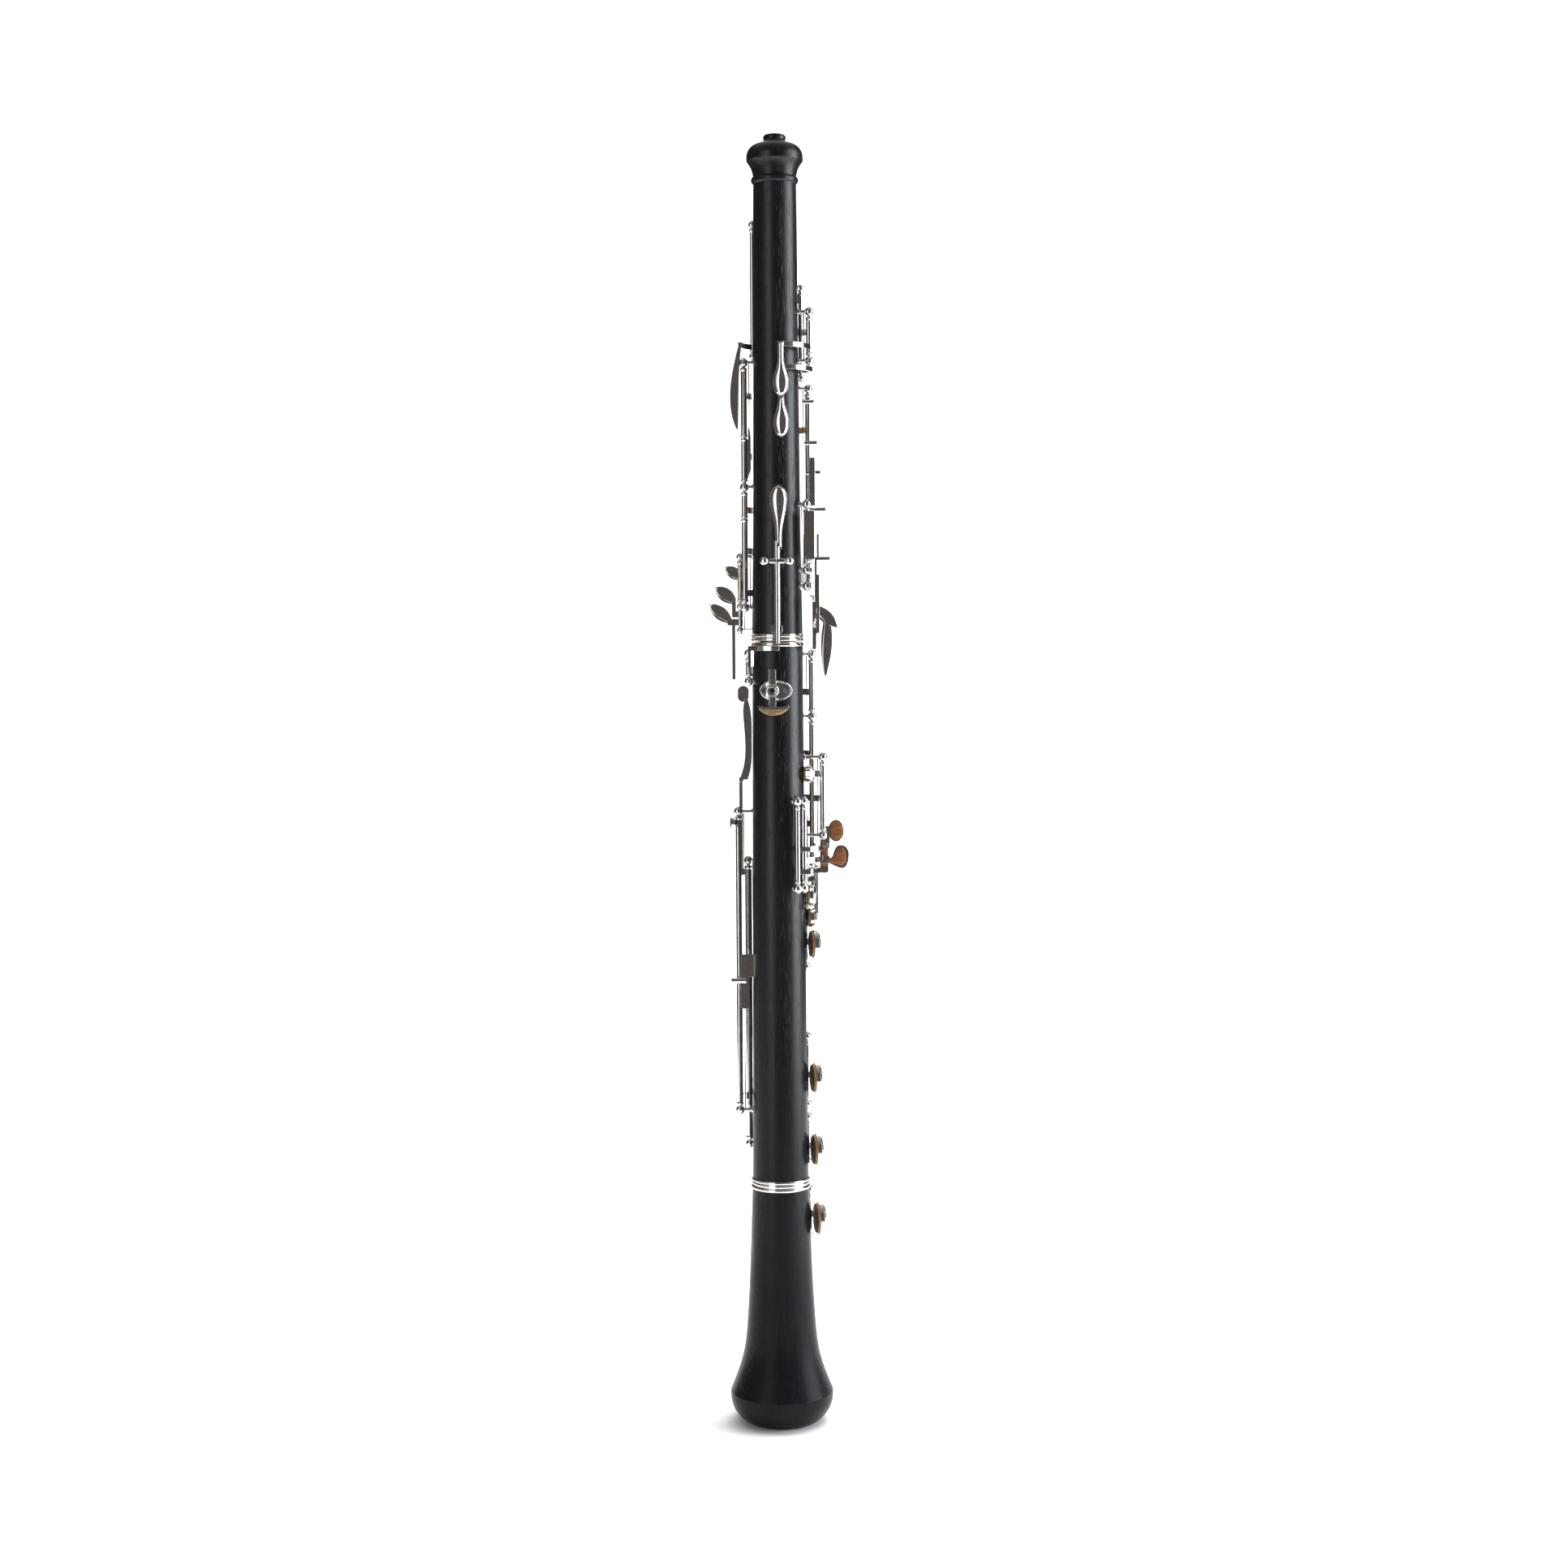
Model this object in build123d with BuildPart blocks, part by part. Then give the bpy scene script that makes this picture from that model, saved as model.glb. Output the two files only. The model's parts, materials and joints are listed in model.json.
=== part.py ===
from build123d import *
from math import sin, cos, radians
import os

# An oboe without its reed, standing on its bell, in millimetres.
# Origin: centre of the bell's mouth, on the surface it stands on.  +Z runs up the bore to the reed.
# The thumb rest faces -Y and the finger plates face +Y.
# An azimuth goes round the bore from the back (0) through +X (90) to the front (180).

# ---- lengths along the bore ----
LENGTH = 600.5
MIDDLE_SHOULDER = 367.7
BELL_SHOULDER = 116.2
UPPER_TENON = 17.0
LOWER_TENON = 15.0
TENON_LIP = 2.0
CROWN_R = 13.05
BELL_R = 24.2

# ---- bore ----
WELL_R = 3.5
WELL_DEPTH = 19.0
BORE_TOP_R = 2.25
BORE_END_R = 8.2
MOUTH_R = 14.0
MIDDLE_SOCKET_R = 8.15
BELL_SOCKET_R = 10.15
CORK_DEPTH = 0.75
FIT = 0.05

# ---- keywork ----
ROD_R = 0.8
TUBE_R = 1.4
BALL_R = 2.1
BARREL_R = 1.2
STEM_R = 0.95
STRAP_HEIGHT = 3.0
STRAP_THICK = 1.4
RIM_HEIGHT = 0.3
PAD_GAP = 0.6
PAD_OUT = 1.4
PAD_IN = 0.9
CUP_WALL = 0.5
CUP_HEIGHT = 2.0
DOME_HEIGHT = 0.9
FINGER_OPEN = 6.0
LOW_OPEN = 7.0

# Outer radius of the wood at each height, between which it tapers evenly.
TAPER = [(66, 15.0), (86, 14.2), (111, 13.3), (119, 13.1), (176, 12.6), (244, 12.3),
         (345, 11.8), (371, 11.7), (380, 11.6), (420, 11.0), (450, 10.8), (517, 10.3), (563, 10.1),
         (578, 9.9)]

# Hinge lines, each (azimuth, distance from the bore axis), all parallel to the bore.
LEFT_STACK = (-92, 14.9)
OCTAVE_LEFT = (-122, 12.6)
OCTAVE_OUTER = (94, 15.5)
OCTAVE_INNER = (110, 12.4)
TRILL = (105, 15.4)
LINK = (68, 15.0)
LITTLE_FINGER = (-108, 18.2)
BRIDGE = (-70, 14.2)
LONG_OUTER = (-92, 18.8)
LONG_INNER = (-118, 16.3)
RIGHT_STACK = (104, 16.4)
F_HINGE = (92, 20.8)
E_FLAT = (51, 15.2)
C_SHARP = (35, 15.2)
C_HINGE = (132.6, 17.3)
LOW_B = (132.6, 17.5)
LOW_B_FLAT = (132.6, 17.8)
BELL_HINGE = (132.6, 18.4)


# ---- places ----
def around(az, rho, z=0):
    """Point at azimuth az and distance rho from the bore axis."""
    return (rho * sin(radians(az)), -rho * cos(radians(az)), z)


def radial_plane(az, rho, z):
    """Plane facing straight out from the bore: local x runs round it and local y runs up."""
    across = (cos(radians(az)), sin(radians(az)), 0)
    return Plane(origin=around(az, rho, z), x_dir=across, z_dir=around(az, 1))


def back_plane(rho):
    """Plane facing the back at a distance from the bore axis: local x is X and local y is Z."""
    return Plane(origin=(0, -rho, 0), x_dir=(1, 0, 0), z_dir=(0, -1, 0))


def wood_radius(z):
    """Outer radius of the wood at height z."""
    for (low, r_low), (high, r_high) in zip(TAPER, TAPER[1:]):
        if low <= z <= high:
            return r_low + (r_high - r_low) * (z - low) / (high - low)
    raise ValueError(f"no wood outline at {z}")


def bore_radius(z):
    """Radius of the conical bore at height z, down to the end of the lower tenon."""
    top = LENGTH - WELL_DEPTH
    bottom = BELL_SHOULDER - LOWER_TENON
    return BORE_TOP_R + (BORE_END_R - BORE_TOP_R) * (top - z) / (top - bottom)


def face_rho(z, radius):
    """Distance of a closed pad's face from the bore axis."""
    return max(wood_radius(z - radius), wood_radius(z + radius)) + PAD_GAP


# ---- shapes added to the piece being built ----
def turned(points):
    """Solid of revolution about the bore from a closed outline of (radius, height) points."""
    with BuildSketch(Plane.XZ) as outline:
        with BuildLine():
            Polyline(*points, close=True)
        make_face()
    revolve(outline.sketch, axis=Axis.Z)


def sleeve(r_in, r_out, z0, z1):
    """Ring round the bore axis."""
    with BuildSketch(Plane.XY.offset(z0)) as outline:
        Circle(r_out)
        Circle(r_in, mode=Mode.SUBTRACT)
    extrude(outline.sketch, amount=z1 - z0)


def upright(place, z0, z1, radius, mode=Mode.ADD):
    """Round bar parallel to the bore."""
    az, rho = place
    with BuildSketch(Plane(origin=around(az, rho, z0))) as outline:
        Circle(radius)
    extrude(outline.sketch, amount=z1 - z0, mode=mode)


def radial_bar(az, z, rho0, rho1, radius, mode=Mode.ADD):
    """Round bar standing straight out from the bore."""
    with BuildSketch(radial_plane(az, rho0, z)) as outline:
        Circle(radius)
    extrude(outline.sketch, amount=rho1 - rho0, mode=mode)


def strap(z, start, end, height=STRAP_HEIGHT, thick=STRAP_THICK, steps=5):
    """Flat arm bent round the body at height z, from one (azimuth, distance) to another."""
    (az0, rho0), (az1, rho1) = start, end
    stations = [(az0 + (az1 - az0) * i / steps, rho0 + (rho1 - rho0) * i / steps)
                for i in range(steps + 1)]
    outer = [around(az, rho + thick / 2)[:2] for az, rho in stations]
    inner = [around(az, rho - thick / 2)[:2] for az, rho in reversed(stations)]
    with BuildSketch(Plane.XY.offset(z - height / 2)) as outline:
        with BuildLine():
            Spline(*outer)
            Line(outer[-1], inner[0])
            Spline(*inner)
            Line(inner[-1], outer[0])
        make_face()
    extrude(outline.sketch, amount=height)


def block(az, rho, z0, z1, width, thick):
    """Upright flat bar, width across and thick outward, centred on its distance from the bore."""
    with BuildSketch(radial_plane(az, rho - thick / 2, (z0 + z1) / 2)) as outline:
        RectangleRounded(width, z1 - z0, min(width, z1 - z0) * 0.3)
    extrude(outline.sketch, amount=thick)


def side_plate(x0, x1, z0, z1, y, thick, corner):
    """Finger plate in a plane facing the back, between two X and two Z values."""
    with BuildSketch(back_plane(-y)) as outline:
        with Locations(((x0 + x1) / 2, (z0 + z1) / 2)):
            RectangleRounded(abs(x1 - x0), z1 - z0, corner)
    extrude(outline.sketch, amount=thick / 2, both=True)


def leaf(tip, root, width, y, thick):
    """Leaf-shaped finger touch from its pointed tip to its root, both (X, Z), in a plane at y."""
    (tip_x, tip_z), (root_x, root_z) = tip, root
    run_x, run_z = root_x - tip_x, root_z - tip_z
    length = (run_x ** 2 + run_z ** 2) ** 0.5
    side_x, side_z = -run_z / length * width / 2, run_x / length * width / 2
    middle = (tip_x + run_x * 0.45, tip_z + run_z * 0.45)
    with BuildSketch(back_plane(-y)) as outline:
        with BuildLine():
            Spline(tip, (middle[0] + side_x, middle[1] + side_z),
                   (root_x + side_x * 0.45, root_z + side_z * 0.45))
            Line((root_x + side_x * 0.45, root_z + side_z * 0.45),
                 (root_x - side_x * 0.45, root_z - side_z * 0.45))
            Spline((root_x - side_x * 0.45, root_z - side_z * 0.45),
                   (middle[0] - side_x, middle[1] - side_z), tip)
        make_face()
    extrude(outline.sketch, amount=thick / 2, both=True)


def petal(rho, thick, middle, root, neck, wide, end):
    """Leaf-shaped thumb touch on a straight stem.

    The stem starts at height root; neck and wide are each (half width, height), and end is
    the height of the rounded end.
    """
    (neck_w, neck_z), (wide_w, wide_z) = neck, wide
    waist = (neck_w + (wide_w - neck_w) * 0.42, (neck_z + wide_z) / 2)
    shoulder = (wide_w * 0.79, wide_z + (end - wide_z) * 0.62)
    side = [(neck_w, neck_z), waist, (wide_w, wide_z), shoulder]
    left = [(middle - x, z) for x, z in side]
    right = [(middle + x, z) for x, z in reversed(side)]
    way = 1 if end > root else -1
    with BuildSketch(back_plane(rho)) as outline:
        with BuildLine():
            Spline(*left, (middle, end), *right, tangents=[(0, way), (0, -way)])
            Polyline(right[-1], (middle + neck_w, root), (middle - neck_w, root), left[0])
        make_face()
    extrude(outline.sketch, amount=thick)


def barrel(x0, x1, y, z):
    """Short adjusting barrel lying across, from one X to another."""
    with BuildSketch(Plane.YZ.offset(x0)) as outline:
        with Locations((y, z)):
            Circle(BARREL_R)
    extrude(outline.sketch, amount=x1 - x0)


def pad_cup(az, z, radius):
    """Domed cup facing the bore, with a recess for its pad."""
    rim = face_rho(z, radius) + PAD_OUT
    radial_bar(az, z, rim, rim + CUP_HEIGHT, radius)
    with BuildSketch(radial_plane(az, rim + CUP_HEIGHT, z)) as outline:
        Circle(radius - CUP_WALL)
    extrude(outline.sketch, amount=DOME_HEIGHT, taper=50)
    radial_bar(az, z, rim - PAD_OUT, rim + PAD_IN, radius - CUP_WALL, Mode.SUBTRACT)


def finger_dish(az, z, radius):
    """Shallow round hollow in the top of a finger plate."""
    top = face_rho(z, radius) + PAD_OUT + CUP_HEIGHT + DOME_HEIGHT
    with BuildSketch(radial_plane(az, top - 0.5, z)) as outline:
        Circle(radius * 0.5)
    extrude(outline.sketch, amount=1, taper=-30, mode=Mode.SUBTRACT)


def post(place, z, ball_r=BALL_R):
    """Ball post: a foot on the wood, a turned stem and the ball that holds the rod."""
    az, rho = place
    surface = wood_radius(z)
    radial_bar(az, z, surface - 0.8, surface + 0.7, STEM_R + 0.55)
    radial_bar(az, z, surface, rho - ball_r / 2, STEM_R)
    with Locations(Plane(origin=around(az, rho, z), x_dir=around(az, 1))):
        Sphere(ball_r)


def tone_hole(az, z, radius):
    """Tone hole with a low raised rim for its pad to close on."""
    top = face_rho(z, radius) - PAD_GAP + RIM_HEIGHT
    radial_bar(az, z, wood_radius(z) - 2, top, radius + 1)
    radial_bar(az, z, 0, top + 1, radius, Mode.SUBTRACT)


def pad_disc(az, z, radius):
    """Pad that fills a cup's recess and stands out of its rim."""
    face = face_rho(z, radius)
    with BuildPart() as pad:
        radial_bar(az, z, face, face + PAD_OUT + PAD_IN, radius - CUP_WALL)
    return pad


def stand_open(piece, hinge, angle):
    """Turn a piece about its hinge line, from the closed place to where it stands at rest."""
    piece.part = piece.part.rotate(Axis(around(*hinge), (0, 0, 1)), angle)


# ---- cups: (azimuth, height, cup radius, tone hole radius) ----
CUPS = {
    "second_octave": (-172, 552, 3.2, 0.8),
    "third_octave": (140, 511, 3.2, 0.8),
    "first_octave": (140, 526, 3.2, 0.8),
    "half_hole": (180, 480, 6.3, 2.0),
    "a": (180, 452, 6.3, 2.2),
    "g": (180, 430.5, 6.0, 2.4),
    "c_vent": (180, 410, 4.8, 2.2),
    "g_sharp": (180, 388.5, 4.8, 2.6),
    "side_trill": (150, 466, 3.6, 1.6),
    "f_sharp": (180, 342, 6.6, 3.0),
    "e": (180, 313, 6.6, 3.2),
    "d": (180, 280, 6.8, 3.5),
    "f": (77, 306, 4.2, 2.5),
    "e_flat": (90, 249, 5.2, 3.6),
    "c_sharp": (100, 238.2, 4.6, 3.0),
    "c": (93, 225.8, 6.7, 4.3),
    "low_b": (93, 162.4, 7.05, 4.8),
    "low_b_flat": (93, 128.3, 7.5, 5.2),
    "bell": (93, 95.5, 7.6, 4.0),
}


def cup_of(name):
    az, z, radius, _ = CUPS[name]
    pad_cup(az, z, radius)


def holes_between(z0, z1):
    """Tone holes of one joint."""
    for az, z, _, hole_r in CUPS.values():
        if z0 < z < z1:
            tone_hole(az, z, hole_r)


# ---- wood ----
UPPER_END = MIDDLE_SHOULDER - UPPER_TENON
LOWER_END = BELL_SHOULDER - LOWER_TENON
RING_SEAT_R = 10.4
BELL_SEAT_R = 11.9

with BuildPart() as upper_joint:
    with BuildSketch(Plane.XZ):
        with BuildLine():
            shaft = [(r, z) for z, r in TAPER if z > 371]
            tenon_r = MIDDLE_SOCKET_R - FIT
            cork_r = tenon_r - CORK_DEPTH
            well_floor = LENGTH - WELL_DEPTH
            Polyline((BORE_TOP_R, well_floor), (WELL_R, well_floor), (WELL_R, LENGTH), (4.3, LENGTH))
            ThreePointArc((4.3, LENGTH), (5.0, 600.0), (5.1, 598.6))
            ThreePointArc((5.1, 598.6), (5.6, 597.4), (6.7, 597.0))
            Line((6.7, 597.0), (8.0, 596.3))
            ThreePointArc((8.0, 596.3), (11.9, 593.9), (CROWN_R, 590.2))
            Line((CROWN_R, 590.2), (CROWN_R, 588.4))
            ThreePointArc((CROWN_R, 588.4), (10.9, 585.0), (10.0, 581.3))
            ThreePointArc((10.0, 581.3), (10.95, 579.8), (9.9, 578))
            Polyline(*reversed(shaft), (11.7, 371.3), (RING_SEAT_R, 371.3),
                     (RING_SEAT_R, MIDDLE_SHOULDER), (tenon_r, MIDDLE_SHOULDER),
                     (tenon_r, MIDDLE_SHOULDER - TENON_LIP), (cork_r, MIDDLE_SHOULDER - TENON_LIP),
                     (cork_r, UPPER_END + TENON_LIP), (tenon_r, UPPER_END + TENON_LIP),
                     (tenon_r, UPPER_END), (bore_radius(UPPER_END), UPPER_END),
                     (BORE_TOP_R, well_floor))
        make_face()
    revolve(axis=Axis.Z)
    holes_between(371, LENGTH)

with BuildPart() as upper_tenon_cork:
    sleeve(cork_r, tenon_r, UPPER_END + TENON_LIP, MIDDLE_SHOULDER - TENON_LIP)

with BuildPart() as lower_joint:
    lower_tenon_r = BELL_SOCKET_R - FIT
    lower_cork_r = lower_tenon_r - CORK_DEPTH
    socket_floor = UPPER_END - 0.3
    socket_top = MIDDLE_SHOULDER - 0.2
    turned([(bore_radius(socket_floor), socket_floor), (MIDDLE_SOCKET_R, socket_floor),
            (MIDDLE_SOCKET_R, socket_top), (RING_SEAT_R, socket_top), (RING_SEAT_R, 365.4),
            (11.8, 365.4), (11.8, 345), (12.3, 244), (12.6, 176), (13.1, 119),
            (13.2, BELL_SHOULDER), (lower_tenon_r, BELL_SHOULDER),
            (lower_tenon_r, BELL_SHOULDER - TENON_LIP), (lower_cork_r, BELL_SHOULDER - TENON_LIP),
            (lower_cork_r, LOWER_END + TENON_LIP), (lower_tenon_r, LOWER_END + TENON_LIP),
            (lower_tenon_r, LOWER_END), (BORE_END_R, LOWER_END)])
    holes_between(120, 365)

with BuildPart() as lower_tenon_cork:
    sleeve(lower_cork_r, lower_tenon_r, LOWER_END + TENON_LIP, BELL_SHOULDER - TENON_LIP)

with BuildPart() as bell:
    with BuildSketch(Plane.XZ):
        with BuildLine():
            bell_top = BELL_SHOULDER - 0.2
            bell_floor = LOWER_END - 0.3
            Polyline((8.5, bell_floor), (BELL_SOCKET_R, bell_floor), (BELL_SOCKET_R, bell_top),
                     (BELL_SEAT_R, bell_top), (BELL_SEAT_R, 111), (13.3, 111))
            Spline((13.3, 111), (14.2, 86), (15.0, 66), (16.2, 46.5), (18.2, 31.5), (21.2, 21.8),
                   (BELL_R, 14.2))
            Line((BELL_R, 14.2), (BELL_R, 13.2))
            ThreePointArc((BELL_R, 13.2), (21.3, 3.9), (16.5, 0))
            Polyline((16.5, 0), (MOUTH_R, 0), (MOUTH_R, 6))
            Spline((MOUTH_R, 6), (15.3, 12), (13.6, 24), (10.8, 50), (8.5, bell_floor))
        make_face()
    revolve(axis=Axis.Z)
    holes_between(60, 110)

# ---- rings round the sockets ----
with BuildPart() as upper_joint_ring:
    turned([(RING_SEAT_R, 367.9), (11.8, 367.9), (11.8, 369.4), (11.5, 369.5), (11.5, 369.6),
            (11.8, 369.7), (11.8, 371.2), (RING_SEAT_R, 371.2)])

with BuildPart() as lower_joint_ring:
    sleeve(RING_SEAT_R, 11.85, 365.4, 367.4)
    chamfer(lower_joint_ring.edges().group_by(Axis.Z)[-1].sort_by(SortBy.RADIUS)[-1], 0.2)

with BuildPart() as bell_ring:
    turned([(BELL_SEAT_R, 111), (13.6, 111), (13.6, 112.4), (13.2, 112.8), (13.2, 114.4),
            (13.6, 114.8), (13.6, 116), (BELL_SEAT_R, 116)])

# ---- octave vents: metal tubes pressed into the wood under the octave pads ----
with BuildPart() as octave_vents:
    for vent in ("first_octave", "second_octave", "third_octave"):
        vent_az, vent_z, _, vent_r = CUPS[vent]
        wall = wood_radius(vent_z)
        radial_bar(vent_az, vent_z, bore_radius(vent_z) - 0.3, wall + RIM_HEIGHT, vent_r + 0.5)
        radial_bar(vent_az, vent_z, 0, wall + 1, vent_r - 0.3, Mode.SUBTRACT)

# ---- ball posts and the steel rods that they hold ----
UPPER_RODS = {  # hinge line: heights of its posts
    LEFT_STACK: (383.5, 439.3, 496.6),
    OCTAVE_LEFT: (500.4, 560.8),
    OCTAVE_OUTER: (497.4, 519.9),
    OCTAVE_INNER: (489.8, 531.0),
    TRILL: (393.6, 484.8),
    LINK: (393.2, 400.6, 431.0),
    LITTLE_FINGER: (373.0, 384.1, 407.2),
}
LOWER_RODS = {
    BRIDGE: (349.3, 362.3),
    LONG_OUTER: (147.6, 288.4),
    LONG_INNER: (130.0, 264.8),
    RIGHT_STACK: (263.9, 332.6, 361.6),
    F_HINGE: (277.1, 313.7),
    E_FLAT: (253.2, 293.8),
    C_SHARP: (253.2, 293.8),
    C_HINGE: (213.9, 264.1),
    LOW_B: (147.9, 180.3),
    LOW_B_FLAT: (120.0, 141.8),
    BELL_HINGE: (84.0, 106.8),
}
THUMB_PIVOT = (15.2, 404.6)  # distance behind the bore axis, height
THUMB_POST_X = 5.8
THUMB_POST_FOOT = 9.0
SMALL_BALLS = (OCTAVE_LEFT, OCTAVE_INNER, LITTLE_FINGER)
SMALL_BALL_R = 1.7


def ball_of(hinge):
    return SMALL_BALL_R if hinge in SMALL_BALLS else BALL_R


with BuildPart() as upper_posts:
    for hinge, heights in UPPER_RODS.items():
        for height in heights:
            post(hinge, height, ball_of(hinge))
    for post_x in (-THUMB_POST_X, THUMB_POST_X):
        with BuildSketch(back_plane(THUMB_POST_FOOT)):
            with Locations((post_x, THUMB_PIVOT[1])):
                Circle(STEM_R)
        extrude(amount=THUMB_PIVOT[0] - THUMB_POST_FOOT - BALL_R / 2)
        with Locations(Plane(origin=(post_x, -THUMB_PIVOT[0], THUMB_PIVOT[1]), x_dir=(0, -1, 0))):
            Sphere(BALL_R)

with BuildPart() as lower_posts:
    for hinge, heights in LOWER_RODS.items():
        for height in heights:
            post(hinge, height, ball_of(hinge))

    side_plate(-18.0, -11.4, 211.0, 221.6, -2.3, 1.0, 0.5)
    side_plate(-18.0, -14.2, 196.0, 212.0, -2.3, 1.0, 0.9)
    with BuildSketch(Plane(origin=(-15.5, -3.4, 209.4), z_dir=(-1, 0, 0))):
        Circle(1.3)
    extrude(amount=7.0)

with BuildPart() as hinge_rods:
    for hinge, heights in (UPPER_RODS | LOWER_RODS).items():
        upright(hinge, heights[0] - 1, heights[-1] + 1, ROD_R)
    with BuildSketch(Plane.YZ.offset(-THUMB_POST_X)):
        with Locations((-THUMB_PIVOT[0], THUMB_PIVOT[1])):
            Circle(ROD_R)
    extrude(amount=2 * THUMB_POST_X)


# ---- hinge tubes: each starts and ends just short of its neighbours ----
def tube(hinge, z0, z1, radius=TUBE_R):
    upright(hinge, z0, z1, radius)


def bored(hinge, z0, z1):
    """Running bore for the steel rod, cut last so that no arm fills it."""
    upright(hinge, z0 - 2, z1 + 2, ROD_R + FIT, Mode.SUBTRACT)


def side_wing():
    """Thin flat wing along the A key's tube, in the gap between the tube and the wood."""
    with BuildSketch(back_plane(-2.6)) as outline:
        with BuildLine():
            Polyline((-14.9, 443.2), (-13.2, 443.2), (-11.7, 447.5), (-11.7, 462.5), (-12.3, 466.8),
                     (-12.9, 466.8), (-12.9, 461.4), (-14.9, 461.4), close=True)
        make_face()
    extrude(outline.sketch, amount=0.9)


def stack_key(name, hinge, z0, z1, arms, dished=False, wing=False):
    """Key made of a hinge tube, one cup and the arms between them."""
    az, z, cup_r, _ = CUPS[name]
    with BuildPart() as key:
        tube(hinge, z0, z1)
        if wing:
            side_wing()
        for arm_z, arm_end in arms:
            strap(arm_z, hinge, arm_end)
        cup_of(name)
        if dished:
            finger_dish(az, z, cup_r)
        bored(hinge, z0, z1)
    return key


# ---- upper joint: finger plates ----
half_hole_key = stack_key("half_hole", LEFT_STACK, 462.2, 494.2, [(482, (-165, 15.0))], True)
a_key = stack_key("a", LEFT_STACK, 441.7, 461.9, [(454, (-165, 15.1))], True, wing=True)
g_key = stack_key("g", LEFT_STACK, 425.0, 436.9, [(429, (-165, 15.2))], True)
c_vent_key = stack_key("c_vent", LEFT_STACK, 385.9, 424.7, [(410, (-168, 15.2))])

# ---- upper joint: octave keys ----
with BuildPart() as second_octave_key:
    tube(OCTAVE_LEFT, 502.4, 558.8, 1.1)
    strap(552, OCTAVE_LEFT, (-166, 13.6))
    cup_of("second_octave")
    strap(504.4, OCTAVE_LEFT, (-78, 17.0), height=2.4)
    with BuildSketch(back_plane(2.2)):
        with BuildLine():
            Spline((-16.9, 505.6), (-19.0, 497), (-20.8, 487), (-21.2, 479), (-20.3, 471.5),
                   (-18.2, 465.6))
            Line((-18.2, 465.6), (-17.6, 465.8))
            Spline((-17.6, 465.8), (-17.3, 478), (-16.9, 492), (-15.5, 505.6))
            Line((-15.5, 505.6), (-16.9, 505.6))
        make_face()
    extrude(amount=1.3)
    bored(OCTAVE_LEFT, 502.4, 558.8)

with BuildPart() as third_octave_key:
    tube(OCTAVE_OUTER, 499.8, 517.5)
    strap(511, OCTAVE_OUTER, (136, 15.0))
    cup_of("third_octave")
    strap(503.2, OCTAVE_OUTER, (8, 16.7), height=2.2)
    petal(16.0, 1.4, 2.3, 504.3, (1.35, 497.5), (3.6, 485.8), 479.3)
    bored(OCTAVE_OUTER, 499.8, 517.5)

with BuildPart() as first_octave_key:
    tube(OCTAVE_INNER, 491.8, 528.9, 1.1)
    strap(526, OCTAVE_INNER, (136, 13.6))
    cup_of("first_octave")
    strap(493.2, OCTAVE_INNER, (92, 16.4), height=2.2)
    strap(493.2, (93, 16.4), (12, 13.9), height=2.2)
    petal(13.1, 1.4, 2.4, 494.3, (1.3, 479.5), (3.55, 468.0), 461.0)
    bored(OCTAVE_INNER, 491.8, 528.9)

# ---- upper joint: right side ----
BARRELS = ((12.1, 17.6, 478.8), (13.0, 19.0, 459.7), (13.6, 20.5, 446.0),
           (13.6, 22.8, 428.8), (13.6, 24.7, 406.0))  # from X, to X, height

with BuildPart() as side_trill_key:
    tube(TRILL, 396.0, 482.4)
    strap(466, TRILL, (146, 14.6))
    cup_of("side_trill")
    radial_bar(TRILL[0], 397.6, TRILL[1], 19.4, 1.2)
    block(105, 19.4, 371, 399, 2.6, 1.4)
    leaf((28.2, 374.0), (18.2, 383.4), 5.6, 5.0, 1.4)
    leaf((22.4, 350.8), (23.4, 380.0), 5.0, 5.0, 1.4)
    side_plate(15.3, 17.9, 430.7, 452.9, 2.4, 1.0, 0.5)
    for x0, x1, barrel_z in BARRELS:
        barrel(x0, x1, 3.4, barrel_z)
    side_plate(18.6, 19.6, 405, 417.6, 3.4, 1.4, 0.4)
    bored(TRILL, 396.0, 482.4)

with BuildPart() as link_lever:
    tube(LINK, 403.0, 428.6)
    radial_bar(LINK[0], 404.6, LINK[1], 18.6, 1.2)
    block(68, 18.6, 386, 406, 2.6, 1.4)
    block(68, 17.8, 364, 389, 4.6, 1.4)
    side_plate(13.0, 17.4, 405.5, 427.8, -8.4, 1.0, 0.5)
    side_plate(13.2, 14.6, 406.5, 426.8, -7.4, 1.6, 0.3)
    bored(LINK, 403.0, 428.6)

# ---- upper joint: left little finger ----
with BuildPart() as g_sharp_key:
    tube(LITTLE_FINGER, 386.1, 405.2, 1.2)
    strap(390.5, LITTLE_FINGER, (-166, 16.0))
    cup_of("g_sharp")
    leaf((-24.3, 402.6), (-16.9, 397.4), 5.4, 5.62, 1.4)
    bored(LITTLE_FINGER, 386.1, 405.2)

with BuildPart() as low_b_flat_touch:
    tube(LITTLE_FINGER, 378.8, 382.1, 1.2)
    side_plate(-21.2, -17, 379.0, 381.9, 5.62, 1.4, 0.6)
    side_plate(-21.2, -19.3, 379.0, 388, 5.62, 1.4, 0.6)
    leaf((-29.0, 393.2), (-20.0, 386.4), 6.2, 5.62, 1.4)
    bored(LITTLE_FINGER, 378.8, 382.1)

with BuildPart() as low_b_touch:
    tube(LITTLE_FINGER, 375.0, 378.5, 1.2)
    side_plate(-23.4, -17, 375.3, 378.3, 5.62, 1.4, 0.6)
    leaf((-31.7, 385.2), (-22.2, 377.4), 6.0, 5.62, 1.4)
    side_plate(-21.2, -19.7, 350, 378.3, 5.62, 1.4, 0.6)
    bored(LITTLE_FINGER, 375.0, 378.5)

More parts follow.
